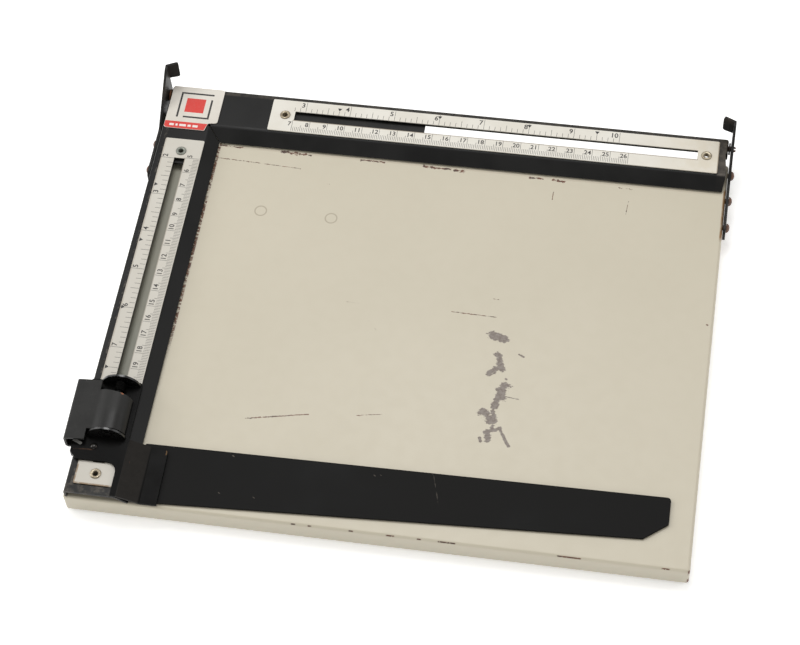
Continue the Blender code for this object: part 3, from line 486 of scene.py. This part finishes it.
def slide_enamel(name="slide_enamel", specular=0.05, polish=0.0):
    """The slide's paint: rusty folds, a rubbed corner on the foot, painted shade darkening the flats and
    the foot, and painted light making the slope lighter and browner and a pale patch at the left edge.
    """
    tones = ((0.0065, 0.0063, 0.0060), (0.0110, 0.0107, 0.0100))
    look = BlackEnamel(name, tones, 60.0, grain=560.0, specular=specular)
    ragged = look.noise(330.0, detail=4.0, roughness=0.7)
    # Painted shade: the flat part, which lies in the shade of the ears and the lever, is darkened.
    flat = look.across_u(*SLIDE_FLAT, 0.8)
    colour = look.mix(look.both(flat, 0.75), look.tone, (0.0030, 0.0029, 0.0028))
    # Painted light: the slope, which faces the light, is made lighter and browner, patchy like scuffs.
    slope = look.both(look.across_u(*SLIDE_SLOPE, 0.8), look.step(ragged, 0.25, 0.75, 0.75, 1.0))
    colour = look.mix(slope, colour, (0.0240, 0.0218, 0.0196))
    # Painted shade: the foot is darkened so that it takes in less of the lamps' light.
    foot = look.across_u(*SLIDE_FOOT, 0.6)
    colour = look.mix(look.both(foot, 0.8), colour, (0.0042, 0.0040, 0.0038))
    corner = look.mark((43.9, -233.4), (44.1, -236.4), 0.25, ragged, 0.8)
    colour = look.mix(look.both(corner, 0.6), colour, (0.24, 0.135, 0.06))
    # Painted light: a pale grey patch at the left edge stands in for the floor seen through the gap beside
    # the lever; it is not wear.
    rubbed = look.mark((-4.4, -236.6), (-0.2, -238.3), 0.85, ragged, 0.3)
    colour = look.mix(look.both(rubbed, 0.85), colour, (0.27, 0.265, 0.25))
    colour = look.mix(look.both(look.marks(ragged, SLIDE_RUST), 0.35), colour, (0.115, 0.060, 0.036))
    return look.dried(colour, 0.30 - polish, 0.46 - polish)


def blade_enamel():
    """The blade's flat black paint with its one long scratch and small specks."""
    tones = ((0.0060, 0.0059, 0.0056), (0.0095, 0.0092, 0.0087))
    look = BlackEnamel("blade_enamel", tones, 24.0, grain=600.0, specular=0.07)
    ragged = look.noise(330.0, detail=4.0, roughness=0.7)
    scratch = look.mark(*BLADE_SCRATCH, 0.10, ragged, 0.7)
    colour = look.mix(look.both(scratch, 0.30), look.tone, (0.16, 0.14, 0.12))
    nicks = [look.mark((u, v), (u + 0.8, v - 0.5), 0.16, ragged, 0.8) for u, v in BLADE_NICKS]
    specks = look.step(look.noise(200.0, detail=2.0, roughness=0.8), 0.765, 0.785, 0.0, 0.5)
    colour = look.mix(look.both(look.any_of([*nicks, specks]), 0.35), colour, (0.22, 0.19, 0.16))
    return look.dried(colour, 0.40, 0.52, depth=0.010)


def printed_plate(name, brown_edges, dull=0.0, shaded_front=0.0):
    """The scales' pale lacquered metal, yellowed at the right end and brown where it is handled.

    brown_edges run from one (u, v) reading to another. The last two arguments say how grey the plate is at
    its rear and at its front, as painted shade for the light falling off across the plate; a plate greyed
    at its front is brown along its front and left edges too.
    """
    look = Look(name, Coat_Weight=0.2, Coat_Roughness=0.25)
    broad = look.noise(45.0, detail=3.0)
    fine = look.noise(700.0, detail=3.0, roughness=0.7)
    colour = look.mix(look.step(broad, 0.3, 0.7), (0.690, 0.655, 0.575), (0.740, 0.712, 0.640))
    colour = look.mix(look.step(fine, 0.62, 0.80, 0.0, 0.18), colour, (0.46, 0.41, 0.33))
    yellowed = look.step(look.axis("X"), at(262, 0, 0).x, at(306, 0, 0).x, 0.0, 0.55)
    yellowed = look.both(yellowed, look.step(look.noise(170.0), 0.35, 0.65, 0.5, 1.0))
    colour = look.mix(yellowed, colour, (0.62, 0.545, 0.405))
    brown = look.any_of(look.step(look.reach(start, end), 0.26 * MM, 0.46 * MM, 0.75, 0.0)
                        for start, end in brown_edges)
    colour = look.mix(brown, colour, (0.17, 0.115, 0.06))
    # Painted shade: the plate is greyed, more towards the front, for the light falling off across it.
    forward = look.step(look.axis("Y"), at(0, -240, 0).y, at(0, -60, 0).y, shaded_front, dull)
    colour = look.mix(forward, colour, (0.44, 0.41, 0.35))
    if shaded_front > 0:
        left, front, _ = readings("side_scale")[0]
        edges = look.any_of((look.across_v(front, 0.55, 0.4), look.across_u(left, 0.55, 0.4)))
        handled = look.step(look.axis("Y"), at(0, -246, 0).y, at(0, -240, 0).y, 1.0, 0.3)
        patchy = look.step(look.noise(300.0, detail=4.0), 0.3, 0.5, 0.3, 1.0)
        colour = look.mix(look.both(edges, handled, patchy), colour, (0.21, 0.135, 0.065))
    gloss = look.step(broad, 0.3, 0.7, 0.28, 0.40)
    return look.finish(colour, gloss, height=fine, depth=0.006)


def badge_metal():
    """Pale silver sheet with a fine brushed grain."""
    look = Look("badge_metal", Metallic=0.08, Coat_Weight=0.2, Coat_Roughness=0.2)
    grain = look.noise(300.0, detail=4.0, roughness=0.6, stretch=(1, 8, 1))
    broad = look.noise(60.0)
    colour = look.mix(look.step(broad, 0.3, 0.7), (0.64, 0.60, 0.53), (0.72, 0.68, 0.61))
    colour = look.mix(look.step(grain, 0.4, 0.7, 0.0, 0.14), colour, (0.50, 0.46, 0.39))
    return look.finish(colour, look.step(grain, 0.3, 0.7, 0.27, 0.40), height=grain, depth=0.005)


def ink(name, tint, fade):
    """Printing that has thinned unevenly."""
    look = Look(name)
    fine = look.noise(900.0, detail=3.0, roughness=0.7)
    thin = tuple(0.6 * c + 0.12 for c in tint)
    colour = look.mix(look.step(fine, 0.35, 0.75, 0.0, fade), tint, thin)
    return look.finish(colour, look.step(fine, 0.3, 0.7, 0.36, 0.48), height=fine, depth=0.004)


def metal(name, tint, dark, roughness, stain=LIGHT_RUST, stained=0.3, metallic=0.9):
    """Bare or plated metal: uneven tarnish, stains and a rough grain."""
    look = Look(name)
    broad = look.noise(220.0, detail=3.0)
    fine = look.noise(1400.0, detail=3.0, roughness=0.7)
    colour = look.mix(look.step(broad, 0.35, 0.65), tint, dark)
    stains = look.step(look.noise(420.0, detail=4.0, roughness=0.7), 0.60 - stained * 0.4, 0.70)
    stains = look.both(stains, min(1.0, stained * 1.6))
    colour = look.mix(stains, colour, stain)
    shine = look.math("SUBTRACT", metallic, look.both(stains, metallic * 0.8))
    gloss = look.math("ADD", look.step(fine, 0.3, 0.7, roughness - 0.06, roughness + 0.08),
                      look.both(stains, 0.3))
    return look.finish(colour, gloss, metallic=shine, height=fine, depth=0.015)


def rubber():
    """Dull black rubber, greyer in patches."""
    look = Look("foot_rubber")
    broad = look.noise(200.0)
    fine = look.noise(900.0, detail=3.0)
    colour = look.mix(look.step(broad, 0.4, 0.7), (0.018, 0.018, 0.018), (0.045, 0.043, 0.040))
    return look.finish(colour, look.step(fine, 0.3, 0.7, 0.7, 0.9), height=fine, depth=0.03)


def floor_paper():
    """The pale floor, which glows a little so that it comes out as white as the photograph's."""
    look = Look("floor_paper", Emission_Strength=0.38, Emission_Color=(1.0, 1.0, 0.99, 1.0))
    soft = look.noise(3.0, detail=2.0)
    colour = look.mix(look.step(soft, 0.3, 0.7), (0.93, 0.93, 0.925), (0.95, 0.95, 0.945))
    return look.finish(colour, look.step(soft, 0.3, 0.7, 0.86, 0.94))


# ------------------------------------------------------------- geometry

def mesh_from(bm, name):
    mesh = bpy.data.meshes.new(name)
    bm.to_mesh(mesh)
    bm.free()
    return mesh


def show(name, mesh, look, body, replaces=()):
    """Adds a piece that rides on a body, and stands for CAD nodes where it replaces them."""
    piece = bpy.data.objects.new(name, mesh)
    bpy.context.scene.collection.objects.link(piece)
    mesh.materials.clear()
    mesh.materials.append(look)
    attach(piece, body)
    if replaces:
        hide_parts(*replaces)
    return piece


def shade(piece, degrees):
    """Smooth shading, with every fold sharper than that kept crisp."""
    piece.data.shade_smooth()
    piece.data.set_sharp_from_angle(angle=math.radians(degrees))


def refined(node, look, edge=0.14, smooth=38.0):
    """The CAD node's own shape with its sharp edges eased and its curves shaded smooth."""
    source = frame["nodes"][node]
    bm = bmesh.new()
    bm.from_mesh(source.data)
    bmesh.ops.remove_doubles(bm, verts=bm.verts, dist=2e-6)
    bmesh.ops.dissolve_limit(bm, angle_limit=math.radians(0.6), verts=bm.verts, edges=bm.edges)
    piece = show(node + "_shown", mesh_from(bm, node), look, source["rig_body"], (node,))
    shade(piece, smooth)
    if edge:
        bevel = piece.modifiers.new("eased", "BEVEL")
        bevel.width = edge * MM
        bevel.segments = 2
        bevel.limit_method = "ANGLE"
        bevel.angle_limit = math.radians(smooth)
        bevel.use_clamp_overlap = True
    weighted = piece.modifiers.new("flats_stay_flat", "WEIGHTED_NORMAL")
    weighted.keep_sharp = True
    weighted.weight = 80
    return piece


def polish_ears(carriage, look):
    """Gives the slide's upright ears, which stand above the scale plates, a glossier paint."""
    carriage.data.materials.append(look)
    for face in carriage.data.polygons:
        if face.center.z > EARS_FROM * MM:
            face.material_index = 1


def dome(radius, height, steps):
    """The profile of a rounded head, from its crown down to its rim."""
    turns = [math.pi / 2 * i / steps for i in range(steps + 1)]
    return [(radius * math.sin(t), height * math.cos(t)) for t in turns]


def turned(name, profile, place, direction, steps=48):
    """A closed turned mesh about direction: profile is (radius, height), from the top down its outside."""
    bm = bmesh.new()
    rings = []
    for radius, height in profile:
        if radius == 0:
            rings.append([bm.verts.new((0, 0, height * MM))])
            continue
        turns = [2 * math.pi * i / steps for i in range(steps)]
        rings.append([bm.verts.new((radius * MM * math.cos(t), radius * MM * math.sin(t), height * MM))
                      for t in turns])
    pairs = list(zip(rings, rings[1:]))
    if profile[0][0] > 0:
        pairs.append((rings[-1], rings[0]))
    for upper, lower in pairs:
        for i in range(steps):
            j = (i + 1) % steps
            corners = [upper[i % len(upper)], lower[i % len(lower)], lower[j % len(lower)],
                       upper[j % len(upper)]]
            bm.faces.new(list(dict.fromkeys(corners)))
    bmesh.ops.recalc_face_normals(bm, faces=bm.faces)
    turn = Vector(direction).to_track_quat("Z", "Y").to_matrix().to_4x4()
    bm.transform(Matrix.Translation(place) @ turn)
    return mesh_from(bm, name)


def turned_node(node, profile, place, direction, look):
    """A turned piece in the place of a CAD one."""
    mesh = turned(node, profile, place, direction)
    piece = show(node + "_shown", mesh, look, frame["nodes"][node]["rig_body"], (node,))
    shade(piece, 50)


def strap_rivets(look):
    """Round rivet heads outside the straps, with their upset ends inside the tray."""
    for side, outward in (("left", -1), ("right", 1)):
        for end in ("front", "middle", "rear"):
            node = f"strap_rivet_{end}_{side}"
            low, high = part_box(node)
            middle = (low + high) / 2
            grip = (high.x - low.x) / MM - RIVET_DOME - RIVET_TAIL
            profile = [*dome(RIVET_RADIUS, RIVET_DOME, 8), (1.4, 0), (1.4, -grip), (2.2, -grip),
                       (1.7, -grip - RIVET_TAIL + 0.1), (0, -grip - RIVET_TAIL)]
            outer = low.x if outward < 0 else high.x
            place = Vector((outer - outward * RIVET_DOME * MM, middle.y, middle.z))
            turned_node(node, profile, place, (outward, 0, 0), look)


def slide_stud(look):
    """The small domed stud on the slide, in front of its front ear."""
    profile = [*dome(STUD_RADIUS, STUD_DOME, 6), (STUD_RADIUS, -0.2), (0, -0.2)]
    place = at(*STUD_PLACE, PLATE_TOP + CARRIAGE_RISE)
    mesh = turned("slide_stud", profile, place, (0, 0, 1), steps=28)
    shade(show("slide_stud", mesh, look, "slide"), 50)


def eyelets(bright, dull):
    """Rolled nickel rims, open through the tube; the one at the side scale's rear has gone dull."""
    rim = [(EYELET_BORE + EYELET_ROLL * (1 + math.cos(t)), EYELET_RISE * math.sin(t))
           for t in [math.pi - math.pi * i / 12 for i in range(13)]]
    for node in ("eyelet_top_left", "eyelet_top_right", "eyelet_side_rear", "eyelet_side_front"):
        low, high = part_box(node)
        middle = (low + high) / 2
        tail = (high.z - low.z) / MM - EYELET_RISE
        profile = [*rim, (1.75, 0.0), (1.75, 0.4 - tail), (2.4, 0.4 - tail), (2.3, -tail), (1.5, -tail),
                   (EYELET_BORE, 0.5 - tail)]
        place = Vector((middle.x, middle.y, high.z - EYELET_RISE * MM))
        turned_node(node, profile, place, (0, 0, 1), dull if node == "eyelet_side_rear" else bright)


# -------------------------------------------------------------- printing

def box(bm, u0, u1, v0, v1, low, high):
    """A printed block between two heights."""
    a, b = at(u0, v0, low), at(u1, v1, high)
    bmesh.ops.create_cube(bm, size=1.0, matrix=Matrix.Translation((a + b) / 2)
                          @ Matrix.Diagonal((*(b - a), 1.0)))


def prism(bm, outline, low, high):
    """A flat piece with an outline of (u, v) corners, between two heights."""
    lower = [bm.verts.new(at(u, v, low)) for u, v in outline]
    upper = [bm.verts.new(at(u, v, high)) for u, v in outline]
    bm.faces.new(lower)
    bm.faces.new(upper)
    for i in range(len(outline)):
        j = (i + 1) % len(outline)
        bm.faces.new((lower[i], lower[j], upper[j], upper[i]))
    bmesh.ops.recalc_face_normals(bm, faces=bm.faces)


def tick(bm, u, v, length, upright):
    """One graduation: upright ones rise from (u, v) to the rear, the others run to the right."""
    half = TICK_WIDTH / 2
    across, along = ((half, 0), (0, length)) if upright else ((0, half), (length, 0))
    box(bm, u - across[0], u + across[0] + along[0], v - across[1], v + across[1] + along[1],
        PLATE_TOP - INK_HEIGHT, PLATE_TOP + INK_HEIGHT)


def tick_length(count, per_number, lengths):
    """The longest length at a number, the middle one halfway to the next, and the shortest elsewhere."""
    long, middle, short = lengths
    if count % per_number == 0:
        return long
    return middle if count % (per_number // 2) == 0 else short


def markers(name, places, direction, look):
    """Small solid arrowheads pointing one way, for standard paper sizes."""
    bm = bmesh.new()
    forward = Vector(direction)
    side = Vector((-forward.y, forward.x)) * MARKER_HALF_WIDTH
    for place in places:
        tip = Vector(place) + forward * MARKER_LENGTH / 2
        back = Vector(place) - forward * MARKER_LENGTH / 2
        prism(bm, (tip, back + side, back - side), PLATE_TOP - INK_HEIGHT, PLATE_TOP + INK_HEIGHT)
    show(name, mesh_from(bm, name), look, "frame")


def number(bm, value, u, v, size, turn, align):
    """A printed number as thin raised strokes, its baseline at (u, v)."""
    curve = bpy.data.curves.new("number", "FONT")
    curve.body = str(value)
    curve.size = size * MM
    curve.align_x = align
    curve.extrude = INK_HEIGHT * MM
    curve.offset = NUMBER_BOLDNESS * MM
    curve.resolution_u = 3
    written = bpy.data.objects.new("number", curve)
    bpy.context.scene.collection.objects.link(written)
    graph = bpy.context.evaluated_depsgraph_get()
    mesh = bpy.data.meshes.new_from_object(written.evaluated_get(graph))
    bpy.data.objects.remove(written)
    bpy.data.curves.remove(curve)
    mesh.transform(Matrix.Translation(at(u, v, PLATE_TOP)) @ Matrix.Rotation(turn, 4, "Z"))
    bm.from_mesh(mesh)
    bpy.data.meshes.remove(mesh)


def top_print(look, marker_look):
    """The top scale: centimetres 7 to 26 along the front, inches 3 to 10 along the rear."""
    low, high = readings("top_scale")
    front, rear = low.y, high.y
    bm = bmesh.new()
    for millimetre in range(70, 261):
        length = tick_length(millimetre, 10, CM_TICKS)
        tick(bm, millimetre, front + 0.5, length, upright=True)
    for eighth in range(22, 81):
        length = tick_length(eighth, 8, INCH_TICKS)
        tick(bm, eighth * INCH / 8, TOP_SLOT_REAR + 0.1, length, upright=True)
    for centimetre in range(7, 27):
        number(bm, centimetre, centimetre * 10 - 0.6, front + 4.2, CM_NUMBER, 0.0, "RIGHT")
    for inches in range(3, 11):
        number(bm, inches, inches * INCH - 0.8, rear - 4.1, TOP_INCH_NUMBER, 0.0, "RIGHT")
    bmesh.ops.recalc_face_normals(bm, faces=bm.faces)
    show("top_scale_print", mesh_from(bm, "top_print"), look, "frame")
    places = [(inches * INCH, rear - inset) for inches, inset in TOP_PAPER_SIZES]
    markers("top_scale_markers", places, (0, -1), marker_look)


def side_print(look, marker_look):
    """The side scale, read from the right: inches 2 to 8 to the left, centimetres 5 to 20 to the right."""
    low, high = readings("side_scale")
    left, right = low.x, high.x
    upwards = math.pi / 2
    bm = bmesh.new()
    for millimetre in range(50, 201):
        length = tick_length(millimetre, 10, CM_TICKS) + SIDE_TICKS_LONGER
        tick(bm, right - 0.4 - length, -millimetre, length, upright=False)
    for eighth in range(16, 65):
        length = tick_length(eighth, 8, INCH_TICKS) + SIDE_TICKS_LONGER
        tick(bm, SIDE_SLOT_LEFT - 0.1 - length, -eighth * INCH / 8, length, upright=False)
    for centimetre in range(5, 21):
        number(bm, centimetre, right - 4.7, 0.3 - centimetre * 10, CM_NUMBER, upwards, "LEFT")
    for inches in range(2, 9):
        number(bm, inches, left + 3.7, 0.5 - inches * INCH, SIDE_INCH_NUMBER, upwards, "LEFT")
    bmesh.ops.recalc_face_normals(bm, faces=bm.faces)
    show("side_scale_print", mesh_from(bm, "side_print"), look, "frame")
    places = [(left + 1.5, -inches * INCH) for inches in SIDE_PAPER_SIZES]
    markers("side_scale_markers", places, (1, 0), marker_look)


def badge_strip(left, front, bottom, top, red, white):
    """The badge's red strip, which follows its cut corner, with dashes in place of words."""
    outline = [(left + 0.15, front + 1.2), (left + 1.2, front + 0.15), (left + 23.3, front + 0.15),
               (left + 24.6, front + 4.8), (left + 0.15, front + 4.8)]
    bm = bmesh.new()
    prism(bm, outline, bottom, top)
    show("badge_strip", mesh_from(bm, "badge_strip"), red, "frame")
    bm = bmesh.new()
    start = left + 3.0
    for width in (2.6, 1.2, 3.8, 1.8, 3.0):
        box(bm, start, start + width, front + 1.6, front + 3.1, top - 0.01, top + INK_HEIGHT)
        start += width + 1.0
    show("badge_dashes", mesh_from(bm, "badge_dashes"), white, "frame")


def badge_print(dark, red, white):
    """A generic badge: a red strip with dashes, and a pictogram of a sheet inside a mask."""
    left, front, _ = readings("corner_badge")[0]
    bottom, top = BADGE_TOP - INK_HEIGHT, BADGE_TOP + INK_HEIGHT
    badge_strip(left, front, bottom, top, red, white)
    u0, u1, v0, v1 = left + 5.5, left + 24.5, front + 8.0, front + 26.0
    bar, inset = 1.1, 4.0
    bm = bmesh.new()
    box(bm, u0, u1, v1 - bar, v1, bottom, top)
    box(bm, u0, u0 + bar, v0, v1 - bar, bottom, top)
    box(bm, u0 + inset, u1, v0, v0 + bar, bottom, top)
    box(bm, u1 - bar, u1, v0 + bar, v1 - inset, bottom, top)
    show("badge_mask", mesh_from(bm, "badge_mask"), dark, "frame")
    bm = bmesh.new()
    box(bm, u0 + inset, u1 - inset, v0 + inset, v1 - inset, bottom, top)
    show("badge_sheet", mesh_from(bm, "badge_sheet"), red, "frame")


# ---------------------------------------------------------- light, camera

# The studio is in metres and watts: each lamp has its name, place, size and power
FLOOR_SIZE = 12.0
FLOOR_GAP = 0.0002
SURROUND = 0.40
LAMPS = (("lamp_above", (-0.2, 0.75, 1.95), 0.9, 15.5),
         ("lamp_left", (-1.6, 0.2, 1.1), 1.3, 16.0),
         ("lamp_right", (1.5, 0.4, 1.2), 1.3, 8.0),
         ("lamp_front", (0.0, -2.0, 0.55), 1.2, 5.0))
CAMERA_PLACE = (291.5, -758.0, 985.1)
CAMERA_TURN = Quaternion((0.955939, 0.282120, 0.043314, 0.068656))


def studio():
    """A pale floor under the easel, an even surround and four soft lamps."""
    bpy.ops.mesh.primitive_plane_add(size=FLOOR_SIZE, location=(0, 0, cad_low.z - FLOOR_GAP))
    floor = bpy.context.object
    floor.name = "floor"
    floor.data.materials.append(floor_paper())
    world = bpy.data.worlds.new("studio")
    bpy.context.scene.world = world
    world.use_nodes = True
    background = world.node_tree.nodes["Background"]
    background.inputs["Color"].default_value = (1.0, 0.995, 0.985, 1.0)
    background.inputs["Strength"].default_value = SURROUND
    for name, place, size, power in LAMPS:
        lamp = bpy.data.lights.new(name, "AREA")
        lamp.size = size
        lamp.energy = power
        holder = bpy.data.objects.new(name, lamp)
        bpy.context.scene.collection.objects.link(holder)
        holder.location = place
        holder.rotation_euler = (-Vector(place)).to_track_quat("-Z", "Y").to_euler()
    bpy.context.scene.view_settings.view_transform = "Standard"


def camera():
    """Over the front edge, turned a little left, looking down at the tray."""
    lens = bpy.data.cameras.new("camera")
    lens.lens = 97.82
    lens.sensor_width = 36.0
    lens.clip_start = 0.05
    eye = bpy.data.objects.new("camera", lens)
    bpy.context.scene.collection.objects.link(eye)
    eye.location = at(*CAMERA_PLACE)
    eye.rotation_euler = CAMERA_TURN.to_euler()
    bpy.context.scene.camera = eye


# -------------------------------------------------------------- assembly

strap_paint = plain_enamel("strap_enamel", rub=0.35)
# The pin and the spring get a darker, duller black than the other paint: partly their own black finish,
# partly painted shade for the dark hollow between the slide's ears.
pin_paint_and_shade = plain_enamel("pin_enamel_and_shade", tint=(0.0022, 0.0021, 0.0020), dust=0.1, specular=0.05)
arms = arm_enamel()
top_plate = printed_plate("top_plate", TOP_PLATE_BROWN)
side_plate = printed_plate("side_plate", SIDE_PLATE_BROWN, dull=0.52, shaded_front=0.80)
zinc = metal("dull_zinc", (0.33, 0.32, 0.30), (0.20, 0.19, 0.18), 0.42, stained=0.35)
rusty = metal("rivet_steel", (0.20, 0.135, 0.105), (0.10, 0.065, 0.050), 0.48,
              stain=(0.16, 0.070, 0.040), stained=0.6, metallic=0.6)
washer_rust = metal("washer_rust", (0.13, 0.060, 0.030), (0.07, 0.035, 0.020), 0.6,
                    stain=(0.28, 0.105, 0.035), stained=0.6, metallic=0.2)
nickel = metal("eyelet_nickel", (0.50, 0.44, 0.33), (0.33, 0.28, 0.20), 0.36, stain=(0.13, 0.085, 0.05),
               stained=0.45, metallic=0.9)
dull_nickel = metal("dull_nickel", (0.33, 0.34, 0.29), (0.22, 0.23, 0.20), 0.5, stain=(0.16, 0.15, 0.12),
                    stained=0.3, metallic=0.5)
stud_steel = metal("stud_steel", (0.030, 0.028, 0.026), (0.012, 0.011, 0.010), 0.20, stained=0.1,
                   metallic=0.7)
dark_ink = ink("dark_ink", (0.022, 0.018, 0.016), 0.18)
black_ink = ink("black_ink", (0.016, 0.014, 0.013), 0.12)
red_ink = ink("red_ink", (0.640, 0.030, 0.018), 0.2)
white_ink = ink("white_ink", (0.80, 0.74, 0.70), 0.2)

refined("base_tray", cream_enamel(), edge=0.10)
for name in ("front_left", "front_right", "rear_left", "rear_right"):
    refined("foot_" + name, rubber(), edge=0.3)
for side in ("left", "right"):
    refined("hinge_strap_" + side, strap_paint, edge=0.18)
    refined("pivot_screw_" + side, rusty, edge=0.08)
    refined("pivot_washer_" + side, washer_rust if side == "left" else strap_paint, edge=0.08)
strap_rivets(rusty)
refined("top_arm", arms, edge=0.16)
refined("side_arm", arms, edge=0.16)
refined("corner_gusset", plain_enamel("black_enamel"), edge=0.1)
refined("top_scale", top_plate, edge=0.08)
refined("side_scale", side_plate, edge=0.08)
refined("corner_badge", badge_metal(), edge=0.08)
eyelets(nickel, dull_nickel)
carriage = refined("carriage_plate", slide_enamel(), edge=0.16)
polish_ears(carriage, slide_enamel("ear_enamel_and_shade", specular=0.65, polish=0.08))
refined("blade", blade_enamel(), edge=0.14)
refined("lock_lever", lever_enamel(), edge=0.16)
refined("lever_pin", pin_paint_and_shade, edge=0.1)
refined("torsion_spring", pin_paint_and_shade, edge=0.0, smooth=80.0)
refined("clamp_stem", zinc, edge=0.1)
refined("clamp_plate", zinc, edge=0.14)
slide_stud(stud_steel)
top_print(dark_ink, black_ink)
side_print(dark_ink, black_ink)
badge_print(black_ink, red_ink, white_ink)
studio()
camera()
